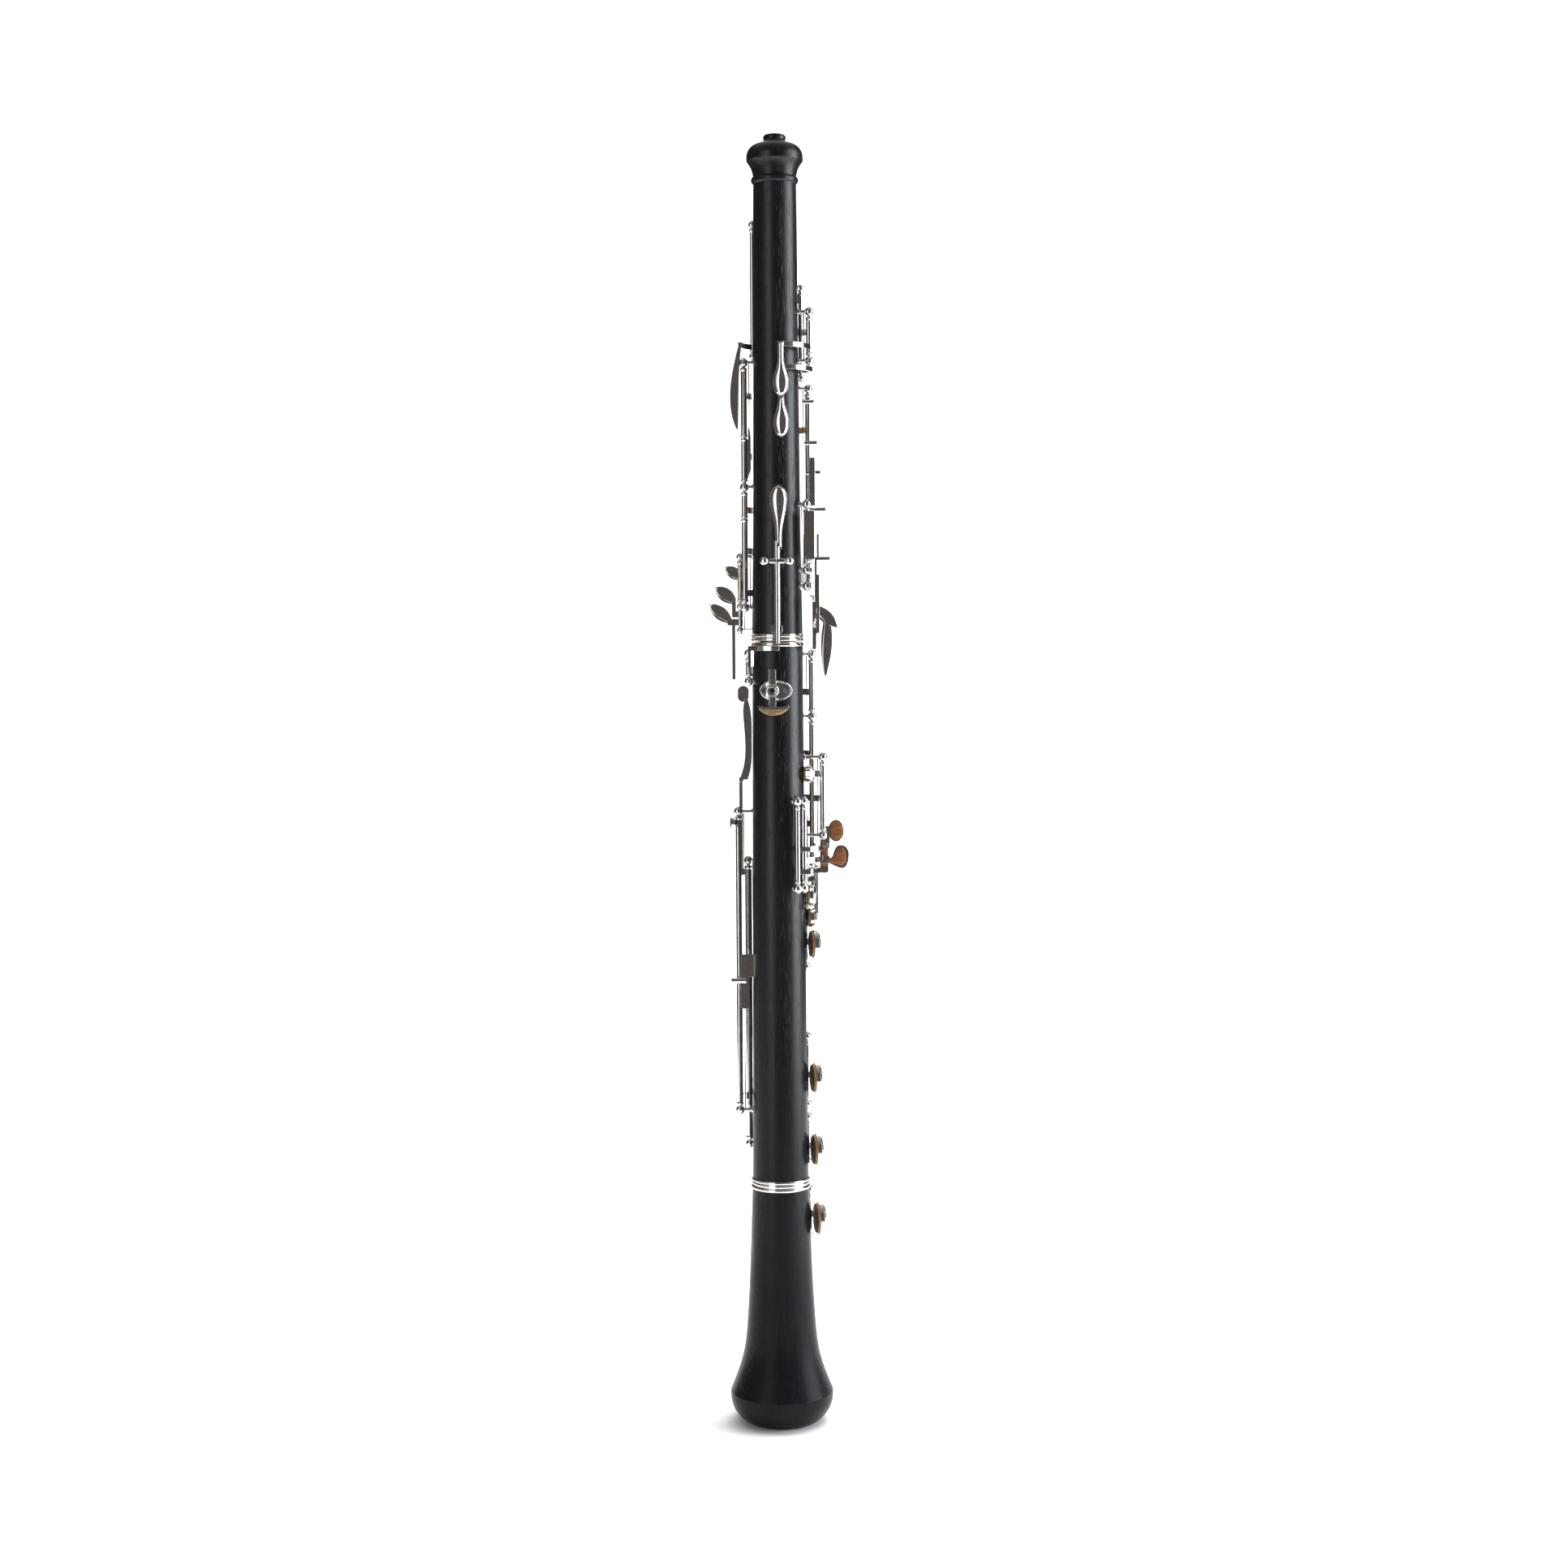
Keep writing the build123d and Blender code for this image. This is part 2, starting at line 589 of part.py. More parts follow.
# ---- thumb plate lever: rocks on a short rod across the back ----
with BuildPart() as thumb_plate_lever:
    petal(14.6, 1.4, 0.9, 410, (1.4, 415), (3.9, 432.6), 439.4)
    side_plate(-1.2, 1.4, 372, 414, -15.2, 1.6, 0.7)
    side_plate(-2.8, 2.4, 371.6, 375.2, -15.2, 2.0, 0.9)
    side_plate(-1.1, 1.1, 366.4, 374, -15.2, 1.6, 0.6)
    with BuildSketch(Plane.YZ.offset(-3.3)):
        with Locations((-THUMB_PIVOT[0], THUMB_PIVOT[1])):
            Circle(1.5)
    extrude(amount=6.8)
    with BuildSketch(Plane.YZ.offset(-4)):
        with Locations((-THUMB_PIVOT[0], THUMB_PIVOT[1])):
            Circle(ROD_R + FIT)
    extrude(amount=8, mode=Mode.SUBTRACT)

# ---- thumb rest ----
THUMB_REST_Z = 345.2
REST_BAR_X = -2.5
REST_BAR_Y = -15.6

REST_BAR_WIDTH = 3.4
REST_BAR_THICK = 2.2
REST_HUB_R = 3.1
REST_SCREWS_X = (-6.6, 4.4)

with BuildPart() as thumb_rest_plate:
    with BuildSketch(back_plane(9)):
        with Locations((-0.8, THUMB_REST_Z)):
            Ellipse(7.6, 4.75)
    extrude(amount=6)
    with BuildSketch(Plane.XY.offset(THUMB_REST_Z - 6)):
        Circle(13.0)
        Circle(11.85, mode=Mode.SUBTRACT)
    extrude(amount=12, mode=Mode.INTERSECT)
    with BuildSketch(back_plane(12.2)):
        with Locations((REST_BAR_X, THUMB_REST_Z)):
            Circle(REST_HUB_R)
    extrude(amount=6.0)
    with BuildSketch(Plane.XY.offset(THUMB_REST_Z - 6)):
        with Locations((REST_BAR_X, REST_BAR_Y)):
            Rectangle(REST_BAR_WIDTH + 4 * FIT, REST_BAR_THICK + 4 * FIT)
    extrude(amount=12, mode=Mode.SUBTRACT)

with BuildPart() as thumb_rest_screws:
    for screw_x in REST_SCREWS_X:
        with BuildSketch(back_plane(10.5)):
            with Locations((screw_x, THUMB_REST_Z)):
                Circle(0.9)
        extrude(amount=3.2)
        with BuildSketch(back_plane(12.4)):
            with Locations((screw_x, THUMB_REST_Z)):
                Circle(1.5)
        extrude(amount=1.0)
        with BuildSketch(back_plane(13.2)):
            with Locations((screw_x, THUMB_REST_Z)):
                Rectangle(3.2, 0.4)
        extrude(amount=1, mode=Mode.SUBTRACT)
    with BuildSketch(back_plane(17.3)):
        with Locations((REST_BAR_X, THUMB_REST_Z)):
            Circle(1.4)
            RegularPolygon(0.7, 6, mode=Mode.SUBTRACT)
    extrude(amount=1.5)

with BuildPart() as thumb_rest_bar:
    side_plate(REST_BAR_X - REST_BAR_WIDTH / 2, REST_BAR_X + REST_BAR_WIDTH / 2, 337, 355,
               REST_BAR_Y, REST_BAR_THICK, 0.4)
    with BuildSketch(back_plane(13.4)):
        with BuildLine():
            ThreePointArc((-8.9, 338.4), (-1.9, 337.7), (5.1, 338.4))
            Line((5.1, 338.4), (5.1, 337.2))
            ThreePointArc((5.1, 337.2), (-1.9, 336.3), (-8.9, 337.2))
            Line((-8.9, 337.2), (-8.9, 338.4))
        make_face()
    extrude(amount=9)

# ---- lower joint: key across the middle joint ----
with BuildPart() as bridge_key:
    tube(BRIDGE, 351.6, 360.0)
    strap(357.0, BRIDGE, (-54, 14.9), height=2.4)
    block(-56, 14.9, 355.8, 365.7, 2.4, 1.4)
    strap(364.6, (-60, 14.9), (3, 15.0), height=2.2)
    bored(BRIDGE, 351.6, 360.0)

# ---- lower joint: finger plates ----
f_sharp_key = stack_key("f_sharp", RIGHT_STACK, 334.9, 359.3, [(344, (165, 15.4))], True)
e_key = stack_key("e", RIGHT_STACK, 304.1, 330.3, [(315, (165, 15.6))], True)
d_key = stack_key("d", RIGHT_STACK, 266.2, 303.8, [(282, (165, 15.8))], True)

# ---- lower joint: right little finger and ring finger ----
with BuildPart() as f_key:
    tube(F_HINGE, 279.4, 311.4)
    strap(306, F_HINGE, (82, 15.4))
    cup_of("f")
    strap(294, F_HINGE, (148, 18.6))
    radial_bar(150, 294, 17.6, 19.2, 3.2)
    bored(F_HINGE, 279.4, 311.4)

with BuildPart() as e_flat_key:
    tube(E_FLAT, 255.6, 291.4)
    strap(257.2, E_FLAT, (90, 16.2), height=2.4)
    block(88, 15.8, 248, 258.4, 3.0, 1.4)
    cup_of("e_flat")
    strap(266, E_FLAT, (106, 20.8), height=2.6)
    side_plate(18.9, 24, 263.4, 267.2, 5.8, 1.4, 1.2)
    with BuildSketch(back_plane(-5.8)):
        with BuildLine():
            Spline((19.2, 263.4), (25.5, 262.6), (30.6, 261.2), (32.8, 265.2), (31.2, 271.4),
                   (27.6, 271.6), (25.2, 266.8), (19.2, 265.8))
            Line((19.2, 265.8), (19.2, 263.4))
        make_face()
    extrude(amount=0.7, both=True)
    bored(E_FLAT, 255.6, 291.4)

with BuildPart() as c_sharp_key:
    tube(C_SHARP, 255.6, 291.4, 1.2)
    strap(261.2, C_SHARP, (51, 18.6), height=2.4)
    strap(261.2, (51, 18.6), (118, 19.8), height=2.4)
    block(118, 19.6, 236.7, 262.4, 3.0, 1.4)
    strap(238.2, (118, 19.6), (100, 16.8))
    cup_of("c_sharp")
    strap(271.6, C_SHARP, (51, 18.4), height=2.4)
    strap(271.6, (51, 18.4), (104, 23.0), height=2.4)
    side_plate(20.8, 24.0, 270.4, 281, 5.8, 1.4, 1.0)
    with BuildSketch(back_plane(-5.8)):
        with Locations((26.9, 278.8)):
            Ellipse(3.7, 5.1)
    extrude(amount=0.7, both=True)
    bored(C_SHARP, 255.6, 291.4)

with BuildPart() as c_key:
    tube(C_HINGE, 216.2, 261.8)
    strap(225.8, C_HINGE, (104, 16.4))
    cup_of("c")
    strap(259.5, C_HINGE, (118, 23.4), height=2.6)
    side_plate(19.6, 23.5, 258.2, 276, 11.4, 1.4, 1.4)
    bored(C_HINGE, 216.2, 261.8)

# ---- low notes: long levers on the left, open cups on the right ----
with BuildPart() as low_b_lever:
    tube(LONG_INNER, 132.4, 262.4, 1.6)
    strap(158, LONG_INNER, (-176, 16.0))
    side_plate(-18.4, -14.4, 258, 261, 7.65, 2.4, 0.5)
    side_plate(-18.4, -16.8, 258, 303.5, 7.0, 3.2, 0.6)
    with BuildSketch(back_plane(-5.4)):
        with BuildLine():
            Spline((-18.4, 303.0), (-16.1, 310), (-15.5, 322), (-16.4, 336))
            Line((-16.4, 336), (-15.6, 341))
            Line((-15.6, 341), (-14.2, 341))
            Spline((-14.2, 341), (-12.6, 334), (-12.3, 322), (-12.8, 309), (-14.4, 303.0))
            Line((-14.4, 303.0), (-18.4, 303.0))
        make_face()
    extrude(amount=-1.4)
    side_plate(-18.4, -16.4, 302.0, 304.4, 6.2, 3.6, 0.6)
    side_plate(-18.8, -13.6, 339.5, 347, 7.0, 1.6, 2.4)
    bored(LONG_INNER, 132.4, 262.4)

with BuildPart() as low_b_flat_lever:
    tube(LONG_OUTER, 149.9, 286.1, 1.35)
    strap(152.5, LONG_OUTER, (-112, 19.6))
    strap(152.5, (-110, 19.6), (-150, 19.6))
    strap(152.5, (-148, 19.6), (-176, 16.6))
    strap(283.5, LONG_OUTER, (-80, 22.0), height=2.4)
    radial_bar(-80, 283.5, 21.0, 22.6, 2.6)
    bored(LONG_OUTER, 149.9, 286.1)

with BuildPart() as low_b_key:
    tube(LOW_B, 150.2, 178.0)
    strap(162.4, LOW_B, (104, 16.9))
    cup_of("low_b")
    strap(162.4, LOW_B, (172, 17.0))
    bored(LOW_B, 150.2, 178.0)

with BuildPart() as low_b_flat_key:
    tube(LOW_B_FLAT, 122.3, 139.6)
    strap(128.3, LOW_B_FLAT, (104, 17.2))
    cup_of("low_b_flat")
    strap(136.0, LOW_B_FLAT, (172, 17.2))
    bored(LOW_B_FLAT, 122.3, 139.6)

with BuildPart() as bell_key:
    tube(BELL_HINGE, 86.3, 104.6)
    strap(95.5, BELL_HINGE, (104, 17.9))
    cup_of("bell")
    strap(102.5, BELL_HINGE, (150, 18.0))
    bored(BELL_HINGE, 86.3, 104.6)

# ---- pads ----
PADS = {name: pad_disc(az, z, radius) for name, (az, z, radius, _) in CUPS.items()}

# ---- keys that stand open at rest: (key, its cup, its hinge line, opening angle) ----
STANDING_OPEN = [
    (half_hole_key, "half_hole", LEFT_STACK, FINGER_OPEN),
    (a_key, "a", LEFT_STACK, FINGER_OPEN),
    (g_key, "g", LEFT_STACK, FINGER_OPEN),
    (c_vent_key, "c_vent", LEFT_STACK, FINGER_OPEN),
    (f_sharp_key, "f_sharp", RIGHT_STACK, -FINGER_OPEN),
    (e_key, "e", RIGHT_STACK, -FINGER_OPEN),
    (d_key, "d", RIGHT_STACK, -FINGER_OPEN),
    (c_key, "c", C_HINGE, LOW_OPEN),
    (low_b_key, "low_b", LOW_B, LOW_OPEN),
    (low_b_flat_key, "low_b_flat", LOW_B_FLAT, LOW_OPEN),
    (bell_key, "bell", BELL_HINGE, LOW_OPEN),
]
for key, cup_name, hinge, angle in STANDING_OPEN:
    stand_open(key, hinge, angle)
    stand_open(PADS[cup_name], hinge, angle)

# ---- output: one file for each piece ----
PIECES = {
    "upper_joint": upper_joint,
    "lower_joint": lower_joint,
    "bell": bell,
    "upper_tenon_cork": upper_tenon_cork,
    "lower_tenon_cork": lower_tenon_cork,
    "upper_joint_ring": upper_joint_ring,
    "lower_joint_ring": lower_joint_ring,
    "bell_ring": bell_ring,
    "octave_vents": octave_vents,
    "upper_posts": upper_posts,
    "lower_posts": lower_posts,
    "hinge_rods": hinge_rods,
    "half_hole_key": half_hole_key,
    "a_key": a_key,
    "g_key": g_key,
    "c_vent_key": c_vent_key,
    "second_octave_key": second_octave_key,
    "third_octave_key": third_octave_key,
    "first_octave_key": first_octave_key,
    "side_trill_key": side_trill_key,
    "link_lever": link_lever,
    "g_sharp_key": g_sharp_key,
    "low_b_flat_touch": low_b_flat_touch,
    "low_b_touch": low_b_touch,
    "thumb_plate_lever": thumb_plate_lever,
    "thumb_rest_plate": thumb_rest_plate,
    "thumb_rest_screws": thumb_rest_screws,
    "thumb_rest_bar": thumb_rest_bar,
    "bridge_key": bridge_key,
    "f_sharp_key": f_sharp_key,
    "e_key": e_key,
    "d_key": d_key,
    "f_key": f_key,
    "e_flat_key": e_flat_key,
    "c_sharp_key": c_sharp_key,
    "c_key": c_key,
    "low_b_lever": low_b_lever,
    "low_b_flat_lever": low_b_flat_lever,
    "low_b_key": low_b_key,
    "low_b_flat_key": low_b_flat_key,
    "bell_key": bell_key,
}
PIECES |= {f"{name}_pad": pad for name, pad in PADS.items()}

os.makedirs("parts", exist_ok=True)
for name, piece in PIECES.items():
    piece.part.label = name
    export_step(piece.part, f"parts/{name}.step")
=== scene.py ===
import json
from math import sin, cos, radians, pi

import bmesh
import bpy
from mathutils import Matrix, Vector


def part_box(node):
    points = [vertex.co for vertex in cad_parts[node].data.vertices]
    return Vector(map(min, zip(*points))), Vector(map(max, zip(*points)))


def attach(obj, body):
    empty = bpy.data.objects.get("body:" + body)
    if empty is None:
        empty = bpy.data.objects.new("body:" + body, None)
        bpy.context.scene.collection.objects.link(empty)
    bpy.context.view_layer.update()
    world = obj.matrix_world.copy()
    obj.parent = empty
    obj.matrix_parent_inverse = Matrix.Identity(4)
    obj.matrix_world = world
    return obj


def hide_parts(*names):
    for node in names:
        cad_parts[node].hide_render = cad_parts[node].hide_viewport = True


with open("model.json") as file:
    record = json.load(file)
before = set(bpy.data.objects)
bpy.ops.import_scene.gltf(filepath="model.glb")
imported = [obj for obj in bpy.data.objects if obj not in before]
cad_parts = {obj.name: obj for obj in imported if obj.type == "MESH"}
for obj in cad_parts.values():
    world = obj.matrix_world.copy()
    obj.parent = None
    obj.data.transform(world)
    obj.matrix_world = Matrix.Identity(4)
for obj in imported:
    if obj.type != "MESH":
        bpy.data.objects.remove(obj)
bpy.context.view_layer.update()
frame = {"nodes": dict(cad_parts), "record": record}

MM = 0.001
NODES = frame["nodes"]
BODY_OF = {node: body for body, members in frame["record"]["behaviour"]["bodies"].items()
           for node in members}
ROOT = BODY_OF["upper_joint"]
scene = bpy.context.scene


# ---- materials ----
class Shader:
    """A node material with short calls for the nodes that the finishes below need."""

    def __init__(self, name, **sockets):
        self.material = bpy.data.materials.new(name)
        self.material.use_nodes = True
        self.tree = self.material.node_tree
        self.shader = self.tree.nodes["Principled BSDF"]
        self.place = self.add("ShaderNodeTexCoord").outputs["Object"]
        for socket, value in sockets.items():
            self.shader.inputs[socket.replace("_", " ")].default_value = value

    def add(self, kind, **settings):
        node = self.tree.nodes.new(kind)
        for key, value in settings.items():
            setattr(node, key, value)
        return node

    def link(self, out, into):
        self.tree.links.new(out, into)

    def scaled(self, x, y, z):
        """Object coordinates stretched along the axes."""
        mapping = self.add("ShaderNodeMapping")
        mapping.inputs["Scale"].default_value = (x, y, z)
        self.link(self.place, mapping.inputs["Vector"])
        return mapping.outputs["Vector"]

    def noise(self, vector, scale, detail=4.0, roughness=0.55, distortion=0.0):
        noise = self.add("ShaderNodeTexNoise")
        noise.inputs["Scale"].default_value = scale
        noise.inputs["Detail"].default_value = detail
        noise.inputs["Roughness"].default_value = roughness
        noise.inputs["Distortion"].default_value = distortion
        self.link(vector, noise.inputs["Vector"])
        return noise.outputs["Fac"]

    def ramp(self, fac, *stops):
        """Colour ramp from (position, colour) stops."""
        ramp = self.add("ShaderNodeValToRGB")
        elements = ramp.color_ramp.elements
        while len(elements) < len(stops):
            elements.new(0.5)
        for element, (position, colour) in zip(elements, stops):
            element.position = position
            element.color = (*colour, 1)
        self.link(fac, ramp.inputs["Fac"])
        return ramp.outputs["Color"]

    def spread(self, fac, low, high, from_low=0.3, from_high=0.7):
        """Map a texture's middle range on to another range."""
        node = self.add("ShaderNodeMapRange")
        for socket, value in (("From Min", from_low), ("From Max", from_high),
                              ("To Min", low), ("To Max", high)):
            node.inputs[socket].default_value = value
        self.link(fac, node.inputs["Value"])
        return node.outputs["Result"]

    def bump(self, height, strength, distance, normal=None):
        node = self.add("ShaderNodeBump")
        node.inputs["Strength"].default_value = strength
        node.inputs["Distance"].default_value = distance
        self.link(height, node.inputs["Height"])
        if normal is not None:
            self.link(normal, node.inputs["Normal"])
        return node.outputs["Normal"]

    def into(self, socket, out):
        self.link(out, self.shader.inputs[socket])
        return self


def grenadilla(name, roughness_low, roughness_high):
    """Black African wood: oiled, with fine pores that run along the bore."""
    wood = Shader(name)
    height = wood.add("ShaderNodeSeparateXYZ")
    wood.link(wood.place, height.inputs["Vector"])
    wood.into("Specular IOR Level", wood.spread(height.outputs["Z"], 0.12, 0.50, 0.06, 0.27))
    fibres = wood.noise(wood.scaled(900, 900, 42), 1.0, detail=6)
    clouds = wood.noise(wood.scaled(60, 60, 9), 1.0, detail=3, distortion=0.6)
    pores = wood.noise(wood.scaled(2600, 2600, 170), 1.0, detail=2, roughness=0.4)
    colour = wood.ramp(fibres, (0.28, (0.0046, 0.0051, 0.0066)), (0.60, (0.0078, 0.0084, 0.0104)),
                       (0.82, (0.0135, 0.0137, 0.0155)))
    wood.into("Base Color", colour)
    wood.into("Roughness", wood.spread(clouds, roughness_low, roughness_high))
    pits = wood.spread(pores, 0.0, 1.0, 0.30, 0.38)
    grain = wood.bump(fibres, 0.10, 0.00012)
    wood.into("Normal", wood.bump(pits, 0.6, 0.00008, grain))
    return wood.material


def plated(name, tint, roughness_low, roughness_high, wear):
    """Polished plate with faint hairlines, cloudy handling marks and softened edges."""
    metal = Shader(name, Metallic=1.0, Anisotropic=0.15)
    clouds = metal.noise(metal.scaled(1, 1, 1), 240, detail=5)
    hairs = metal.noise(metal.scaled(1500, 1500, 9000), 1.0, detail=2)
    dark = tuple(c * wear for c in tint)
    metal.into("Base Color", metal.ramp(clouds, (0.30, dark), (0.62, tint)))
    metal.into("Roughness", metal.spread(clouds, roughness_low, roughness_high))
    edge = metal.add("ShaderNodeBevel", samples=4)
    edge.inputs["Radius"].default_value = 0.00022
    metal.into("Normal", metal.bump(hairs, 0.05, 0.00002, edge.outputs["Normal"]))
    return metal.material


def skin(name, light, dark):
    """Thin membrane over felt: mottled, slightly waxy and faintly wrinkled."""
    pad = Shader(name, Specular_IOR_Level=0.35, Sheen_Weight=0.15)
    mottle = pad.noise(pad.scaled(1, 1, 1), 700, detail=6, roughness=0.6)
    wrinkle = pad.noise(pad.scaled(1, 1, 1), 1900, detail=3, distortion=1.2)
    pad.into("Base Color", pad.ramp(mottle, (0.28, dark), (0.72, light)))
    pad.into("Roughness", pad.spread(mottle, 0.42, 0.68))
    pad.into("Normal", pad.bump(wrinkle, 0.35, 0.00008))
    return pad.material


def cork_sheet(name):
    """Cork: pale grains with dark pits."""
    cork = Shader(name, Roughness=0.9)
    cells = cork.add("ShaderNodeTexVoronoi")
    cells.inputs["Scale"].default_value = 1300
    cork.link(cork.place, cells.inputs["Vector"])
    grain = cork.noise(cork.scaled(1, 1, 1), 500, detail=5)
    cork.into("Base Color", cork.ramp(grain, (0.25, (0.10, 0.045, 0.020)), (0.45, (0.36, 0.20, 0.09)),
                                      (0.75, (0.55, 0.35, 0.18))))
    cork.into("Normal", cork.bump(cells.outputs["Distance"], 0.6, 0.0001))
    return cork.material


def grained_facing(name):
    """Brown facing of a paddle: fine fibres across it, darker towards the pores."""
    brown = Shader(name, Specular_IOR_Level=0.4, Coat_Weight=0.12, Coat_Roughness=0.25)
    fibres = brown.noise(brown.scaled(160, 160, 1400), 1.0, detail=6)
    clouds = brown.noise(brown.scaled(1, 1, 1), 260, detail=3)
    brown.into("Base Color", brown.ramp(fibres, (0.25, (0.16, 0.055, 0.016)), (0.55, (0.33, 0.125, 0.034)),
                                        (0.80, (0.46, 0.20, 0.065))))
    brown.into("Roughness", brown.spread(clouds, 0.34, 0.52))
    brown.into("Normal", brown.bump(fibres, 0.25, 0.00006))
    return brown.material


FINISH = {
    "grenadilla": grenadilla("grenadilla_satin", 0.27, 0.36),
    "silver_plate": plated("silver_plate_polished", (0.90, 0.885, 0.86), 0.07, 0.17, 0.86),
    "steel": plated("rod_steel_ground", (0.56, 0.56, 0.57), 0.22, 0.34, 0.75),
    "vent_metal": plated("vent_metal_turned", (0.72, 0.69, 0.62), 0.16, 0.26, 0.80),
    "pad_skin": skin("pad_skin_tan", (0.50, 0.29, 0.12), (0.34, 0.17, 0.06)),
    "cork": cork_sheet("tenon_cork"),
}
SPRING_STEEL = plated("spring_steel_blued", (0.10, 0.13, 0.22), 0.25, 0.38, 0.7)
SHADOWED = plated("slot_shadow", (0.05, 0.045, 0.04), 0.5, 0.7, 0.6)
FACING = grained_facing("paddle_facing_brown")
# Darker skin for the pad faces that turn towards the wood: painted shade, for the shade those faces stand
# in.
PAD_FACE = skin("pad_face_painted_shade", (0.13, 0.070, 0.034), (0.055, 0.028, 0.015))
for subpart in frame["record"]["subparts"]:
    slots = NODES[subpart["node"]].data.materials
    slots.clear()
    slots.append(FINISH[subpart["material_slot"]])


# ---- building pieces ----
def finished(name, bm, body, finish, levels=0):
    """Mesh object from bm (in millimetres) that rides on a body and takes its finish from a slot."""
    bmesh.ops.scale(bm, vec=(MM, MM, MM), verts=bm.verts)
    bmesh.ops.recalc_face_normals(bm, faces=bm.faces)
    mesh = bpy.data.meshes.new(name)
    bm.to_mesh(mesh)
    bm.free()
    mesh.shade_smooth()
    mesh.materials.append(finish)
    piece = bpy.data.objects.new(name, mesh)
    scene.collection.objects.link(piece)
    if levels:
        subdivision = piece.modifiers.new("subdivision", "SUBSURF")
        subdivision.levels = levels
        subdivision.render_levels = levels
    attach(piece, body)
    return piece


def lathe(bm, profile, origin, axis, around=24):
    """Turned solid about an axis from (radius, distance along it) points, first and last on the axis."""
    turn = Matrix.Translation(Vector(origin)) @ Vector(axis).to_track_quat("Z", "Y").to_matrix().to_4x4()
    rings = []
    for radius, height in profile:
        if radius < 1e-6:
            rings.append([bm.verts.new(turn @ Vector((0, 0, height)))])
        else:
            rings.append([bm.verts.new(turn @ Vector((radius * cos(2 * pi * i / around),
                                                      radius * sin(2 * pi * i / around), height)))
                          for i in range(around)])
    for low, high in zip(rings, rings[1:]):
        for i in range(around):
            j = (i + 1) % around
            corners = [low[i % len(low)], low[j % len(low)], high[j % len(high)], high[i % len(high)]]
            bm.faces.new(list(dict.fromkeys(corners)))


def hoop(bm, profile, origin, around=28):
    """Ring about an upright axis from a closed outline of (radius, height) points."""
    x, y, z = origin
    rings = [[bm.verts.new((x + radius * cos(2 * pi * i / around), y + radius * sin(2 * pi * i / around),
                            z + height)) for i in range(around)] for radius, height in profile]
    for low, high in zip(rings, rings[1:] + rings[:1]):
        for i in range(around):
            j = (i + 1) % around
            bm.faces.new((low[i], low[j], high[j], high[i]))


def crown(bm, start, end, half_width, face_y, rise, rows=26, columns=10):
    """Domed shell on a flat finger touch, along its spine from start to end, both (X, Z).

    half_width gives the touch's half width at 0 to 1 along the spine, and the sign of rise
    says which way the dome stands.
    """
    (x0, z0), (x1, z1) = start, end
    length = ((x1 - x0) ** 2 + (z1 - z0) ** 2) ** 0.5
    side_x, side_z = -(z1 - z0) / length, (x1 - x0) / length
    sunk = -0.25 if rise > 0 else 0.25
    grid = []
    for row in range(rows + 1):
        t = row / rows
        half = half_width(t)
        lift = rise * min(1.0, half / 2.2)
        line = []
        for column in range(columns + 1):
            u = 2 * column / columns - 1
            y = face_y + lift * (1 - u * u) + (sunk if abs(u) > 0.999 or row in (0, rows) else 0)
            line.append(bm.verts.new((x0 + (x1 - x0) * t + side_x * half * u, y,
                                      z0 + (z1 - z0) * t + side_z * half * u)))
        grid.append(line)
    for a, b in zip(grid, grid[1:]):
        for i in range(columns):
            bm.faces.new((a[i], a[i + 1], b[i + 1], b[i]))


# ---- keywork details ----
# Hinge tubes: node, height of each end and radius.  Their lines come from the joints.
TUBES = [
    ("half_hole_key", 462.2, 494.2, 1.4), ("a_key", 441.7, 461.9, 1.4), ("g_key", 425.0, 436.9, 1.4),
    ("c_vent_key", 385.9, 424.7, 1.4), ("second_octave_key", 502.4, 558.8, 1.1),
    ("third_octave_key", 499.8, 517.5, 1.4), ("first_octave_key", 491.8, 528.9, 1.1),
    ("side_trill_key", 396.0, 482.4, 1.4), ("link_lever", 403.0, 428.6, 1.4),
    ("g_sharp_key", 386.1, 405.2, 1.2), ("bridge_key", 351.6, 360.0, 1.4),
    ("f_sharp_key", 334.9, 359.3, 1.4), ("e_key", 304.1, 330.3, 1.4), ("d_key", 266.2, 303.8, 1.4),
    ("f_key", 279.4, 311.4, 1.4), ("e_flat_key", 255.6, 291.4, 1.4), ("c_sharp_key", 255.6, 291.4, 1.2),
    ("c_key", 216.2, 261.8, 1.4), ("low_b_lever", 132.4, 262.4, 1.6),
    ("low_b_flat_lever", 149.9, 286.1, 1.35), ("low_b_key", 150.2, 178.0, 1.4),
    ("low_b_flat_key", 122.3, 139.6, 1.4), ("bell_key", 86.3, 104.6, 1.4),
]
HINGE_OF = {joint["child"]: [1000 * value for value in joint["pos_m"]]
            for joint in frame["record"]["behaviour"]["joints"] if joint["type"] == "hinge"}


